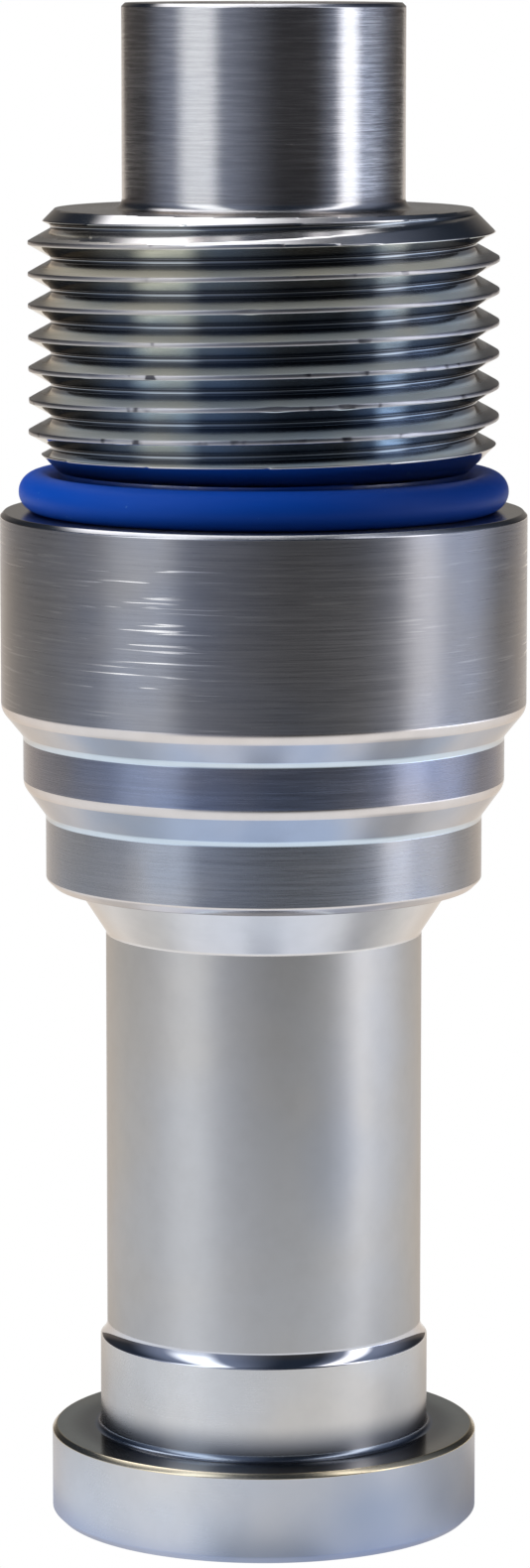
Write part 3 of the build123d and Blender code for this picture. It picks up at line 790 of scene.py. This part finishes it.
def surroundings():
    """White to the camera; to the metal, a dim room with two tall side lights and one overhead."""
    world = bpy.data.worlds.new("studio")
    world.use_nodes = True
    bpy.context.scene.world = world
    s = Shader(world.node_tree)
    way = s.node("ShaderNodeTexCoord").outputs["Generated"]
    xyz = s.node("ShaderNodeSeparateXYZ", {0: way})
    x, y, z = xyz.outputs
    bearing = s.bearing(x, y)
    tall = s.times(s.ramp(z, -0.10, 0.0), s.ramp(z, 0.97, 0.88))
    aside = s.ramp(s.math("ABSOLUTE", bearing), 70, 175)
    behind = s.times(s.ramp(s.math("ABSOLUTE", bearing), 148, 174), s.ramp(z, 0.62, 0.42))
    room = s.mix(s.ramp(z, 0.0, 0.6), ROOM_LOW, ROOM_HIGH)
    room = s.mix(s.times(aside, s.ramp(z, 0.20, 0.02)), room, ROOM_ASIDE)
    room = s.mix(behind, room, ROOM_BEHIND)
    color = with_side_lights(s, room, bearing, tall, s.ramp(z, 0.08, 0.40, 1.0, 2.4))
    overhead = s.times(s.ramp(s.from_ellipse(x, y, OVERHEAD_PLACE), 1.1, 0.8), s.ramp(z, 0.5, 0.7))
    color = s.mix(overhead, color, OVERHEAD)
    seen = s.node("ShaderNodeLightPath").outputs["Is Camera Ray"]
    color = s.mix(seen, color, SEEN_WHITE)
    back = s.node("ShaderNodeBackground", {"Color": color, "Strength": 1.0})
    s.node("ShaderNodeOutputWorld", {"Surface": back.outputs[0]})


def camera():
    """Camera a little above the object, tilted down, looking along +Y."""
    low, high = CAD_BOX
    aim = Vector((VIEW_SHIFT, 0, low.z + VIEW_AIM_HEIGHT * (high.z - low.z)))
    direction = Vector((0, math.cos(VIEW_TILT), -math.sin(VIEW_TILT)))
    data = bpy.data.cameras.new("camera")
    data.lens = LENS
    data.sensor_width = SENSOR
    data.clip_start = 0.01
    data.clip_end = 60
    eye = bpy.data.objects.new("camera", data)
    eye.location = aim - direction * VIEW_DISTANCE
    eye.rotation_mode = "QUATERNION"
    eye.rotation_quaternion = direction.to_track_quat("-Z", "Y")
    bpy.context.scene.collection.objects.link(eye)
    bpy.context.scene.camera = eye


def lights():
    """Soft key light from above, for the rubber; the floor only glows, and its contact shadow is painted into
    its colour.
    """
    data = bpy.data.lights.new("key", "AREA")
    data.shape = "DISK"
    data.size = KEY_SIZE
    data.energy = KEY_POWER
    lamp = bpy.data.objects.new("key", data)
    lamp.location = KEY_PLACE
    lamp.rotation_mode = "QUATERNION"
    lamp.rotation_quaternion = (Vector(KEY_AIM) - lamp.location).to_track_quat("-Z", "Y")
    lamp.visible_glossy = False
    bpy.context.scene.collection.objects.link(lamp)


# ------------------------------------------------------------------ build
ZINC = (0.66, 0.68, 0.71, 1)
COOL = (0.48, 0.57, 0.74, 1)
WARM = (0.70, 0.64, 0.58, 1)

zinc = {
    "polished": turned_metal("zinc_polished", (0.60, 0.61, 0.63, 1), 0.20, 0.75, 0.45, 0.35,
                             COOL, WARM, 0.20),
    # Collar: its rub streaks are partly painted highlight, placed where the left light reflects.
    "collar": turned_metal("zinc_collar", (0.31, 0.32, 0.35, 1), 0.30, 0.85, 0.35, 0.25,
                           (0.27, 0.30, 0.38, 1), (0.33, 0.32, 0.32, 1), 0.6, rub_marks_and_painted_highlight=1.0),
    "step_high": turned_metal("zinc_step_high", (0.27, 0.30, 0.37, 1), 0.26, 0.85, 0.35, 0.25,
                              (0.21, 0.27, 0.44, 1), (0.34, 0.32, 0.34, 1), 0.7),
    "step_low": turned_metal("zinc_step_low", (0.39, 0.41, 0.45, 1), 0.28, 0.85, 0.35, 0.25,
                             (0.33, 0.38, 0.48, 1), (0.45, 0.43, 0.42, 1), 0.6),
    "cone": turned_metal("zinc_cone", (0.74, 0.74, 0.75, 1), 0.18, 0.30, 0.03, 0.04,
                         (0.71, 0.73, 0.76, 1), (0.78, 0.75, 0.73, 1), 0.5),
    # Pinkish tint on the rounded edges: a painted reflection of the near floor.
    "cone_edge": turned_metal("zinc_cone_edge", (0.66, 0.63, 0.62, 1), 0.18, 0.30, 0.03, 0.04,
                              (0.74, 0.74, 0.77, 1), (0.80, 0.74, 0.71, 1), 0.5),
    # Darker, bluer copy of the cone plating: painted shade, standing in for the shaded floor that the cone
    # faces mirror.
    "cone_middle": turned_metal("zinc_cone_middle", (0.49, 0.53, 0.60, 1), 0.15, 0.30, 0.03, 0.04,
                                (0.37, 0.46, 0.62, 1), (0.63, 0.61, 0.61, 1), 0.7),
    # Cyan tint on the concave fillets: a painted reflection.
    "cone_foot": turned_metal("zinc_cone_foot", (0.64, 0.74, 0.84, 1), 0.16, 0.30, 0.03, 0.04,
                              (0.58, 0.72, 0.88, 1), (0.72, 0.76, 0.80, 1), 0.5),
    # Darker plating at the seam between body and tail: painted shade for the dark line of the gap.
    "seam": turned_metal("zinc_seam", (0.42, 0.43, 0.47, 1), 0.22, 0.30, 0.05, 0.04,
                         (0.36, 0.40, 0.52, 1), (0.48, 0.44, 0.44, 1), 0.5),
    "thread": turned_metal("zinc_thread", (0.64, 0.65, 0.66, 1), 0.13, 0.50, 0.08, 0.10,
                           (0.52, 0.56, 0.64, 1), (0.66, 0.63, 0.60, 1), 0.4),
    "thread_crest": turned_metal("zinc_thread_crest", (0.42, 0.42, 0.43, 1), 0.34, 0.50, 0.10, 0.15,
                                 (0.42, 0.46, 0.56, 1), (0.56, 0.52, 0.49, 1), 0.5, nicks=0.9),
    "thread_upper": turned_metal("zinc_thread_upper", (0.52, 0.55, 0.58, 1), 0.09, 0.20, 0.02, 0.04,
                                 (0.40, 0.49, 0.62, 1), (0.54, 0.52, 0.48, 1), 0.7,
                                 shaded=("radius", 0.0204, 0.0215, 0.42),
                                 worn=(0.0208, 0.0218, (0.31, 0.33, 0.36, 1), 0.34)),
    "thread_under": turned_metal("zinc_thread_under", (0.86, 0.90, 0.88, 1), 0.05, 0.20, 0.02, 0.04,
                                 (0.60, 0.76, 0.92, 1), (0.90, 0.91, 0.80, 1), 0.7,
                                 shaded=("radius", 0.02066, 0.0210, 0.70)),
    "shank": turned_metal("zinc_shank", (0.56, 0.56, 0.56, 1), 0.38, 0.50, 0.015, 0.04,
                          (0.53, 0.56, 0.61, 1), (0.59, 0.57, 0.54, 1), 0.45, stain_and_shade=SHANK_BLOOM),
    "neck": turned_metal("zinc_neck", (0.66, 0.66, 0.66, 1), 0.28, 0.40, 0.008, 0.04,
                         (0.62, 0.67, 0.75, 1), (0.71, 0.68, 0.64, 1), 0.5,
                         shaded=("z", 0.0098, 0.0124, 0.65)),
    # Flange side; its bluish spot on the front right is partly painted shade.
    "satin": turned_metal("zinc_satin", (0.69, 0.70, 0.70, 1), 0.28, 0.40, 0.010, 0.04,
                          (0.62, 0.67, 0.75, 1), (0.71, 0.68, 0.65, 1), 0.5, stain_and_shade=FLANGE_STAIN_AND_SHADE),
    "hollow": turned_metal("zinc_hollow", (0.66, 0.67, 0.71, 1), 0.07, 0.40, 0.03, 0.04,
                           COOL, WARM, 0.3),
    # Dark blue-grey corner between neck and flange: painted shade.
    "fillet": turned_metal("zinc_fillet", (0.22, 0.28, 0.36, 1), 0.20, 0.40, 0.03, 0.04,
                           (0.26, 0.34, 0.50, 1), (0.38, 0.40, 0.44, 1), 0.5),
    "flange_top": turned_metal("zinc_flange_top", (0.52, 0.58, 0.60, 1), 0.14, 0.50, 0.03, 0.05,
                               (0.42, 0.53, 0.60, 1), (0.58, 0.57, 0.55, 1), 0.5,
                               shaded=("radius", 0.0170, 0.0195, 0.50)),
    "gold_edge": turned_metal("zinc_gold_edge", (0.72, 0.65, 0.48, 1), 0.20, 0.40, 0.05, 0.05,
                              (0.60, 0.60, 0.56, 1), (0.80, 0.67, 0.44, 1), 0.5),
    "nose_face": turned_metal("zinc_nose_face", (0.60, 0.61, 0.64, 1), 0.24, 0.80, 0.30, 0.20,
                              COOL, WARM, 0.25),
    "flange_face": turned_metal("zinc_face", ZINC, 0.26, 0.80, 0.15, 0.15, COOL, WARM, 0.35),
    "bore": turned_metal("zinc_bore", ZINC, 0.38, 0.60, 0.25, 0.20, COOL, WARM, 0.20),
}
bare_steel = turned_metal("bare_steel", (0.58, 0.57, 0.56, 1), 0.28, 0.70, 0.20, 0.15,
                          (0.52, 0.54, 0.58, 1), (0.62, 0.57, 0.50, 1), 0.25)
spring_steel = turned_metal("spring_wire", (0.24, 0.24, 0.26, 1), 0.36, 0.20, 0.12, 0.15,
                            (0.20, 0.22, 0.28, 1), (0.30, 0.26, 0.22, 1), 0.35)
bronze = turned_metal("sintered_bronze", (0.66, 0.43, 0.22, 1), 0.40, 0.30, 0.20, 0.20,
                      (0.55, 0.42, 0.30, 1), (0.75, 0.46, 0.20, 1), 0.40)
blue_rubber = rubber("blue_rubber_skin", (0.0, 0.041, 0.28, 1), (0.09, 0.21, 0.50, 1), 0.46)
black_rubber = rubber("black_rubber_skin", (0.022, 0.022, 0.025, 1), (0.25, 0.25, 0.26, 1), 0.40)
pale_seal = seal_plastic("pale_seal", (0.86, 0.85, 0.80, 1))

kept_nodes = {
    "valve_guide": bare_steel, "guide_shim": bare_steel, "spring_washer": bare_steel,
    "main_poppet": bare_steel, "poppet_cap": bare_steel, "pilot_pin": bare_steel,
    "pilot_plug": bare_steel, "guide_circlip": spring_steel, "guide_bush": bronze,
    "tail_backup_ring": pale_seal, "poppet_seal": pale_seal, "pilot_seal": black_rubber,
}
for node, finish in kept_nodes.items():
    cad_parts[node].material_slots[0].material = finish

valve_body(zinc)
tail_adapter(zinc)
o_ring("collar_o_ring", blue_rubber, "body")
o_ring("flange_o_ring", black_rubber, "body")
o_ring("tail_o_ring", black_rubber, "body")
o_ring("seal_energiser", black_rubber, "poppet")
coil_spring("main_spring", 9.5, 0.8 * MM, spring_steel, "body")
coil_spring("pilot_spring", 9.0, 0.3 * MM, spring_steel, "poppet")

floor()
surroundings()
lights()
camera()
bpy.context.scene.view_settings.view_transform = "Standard"
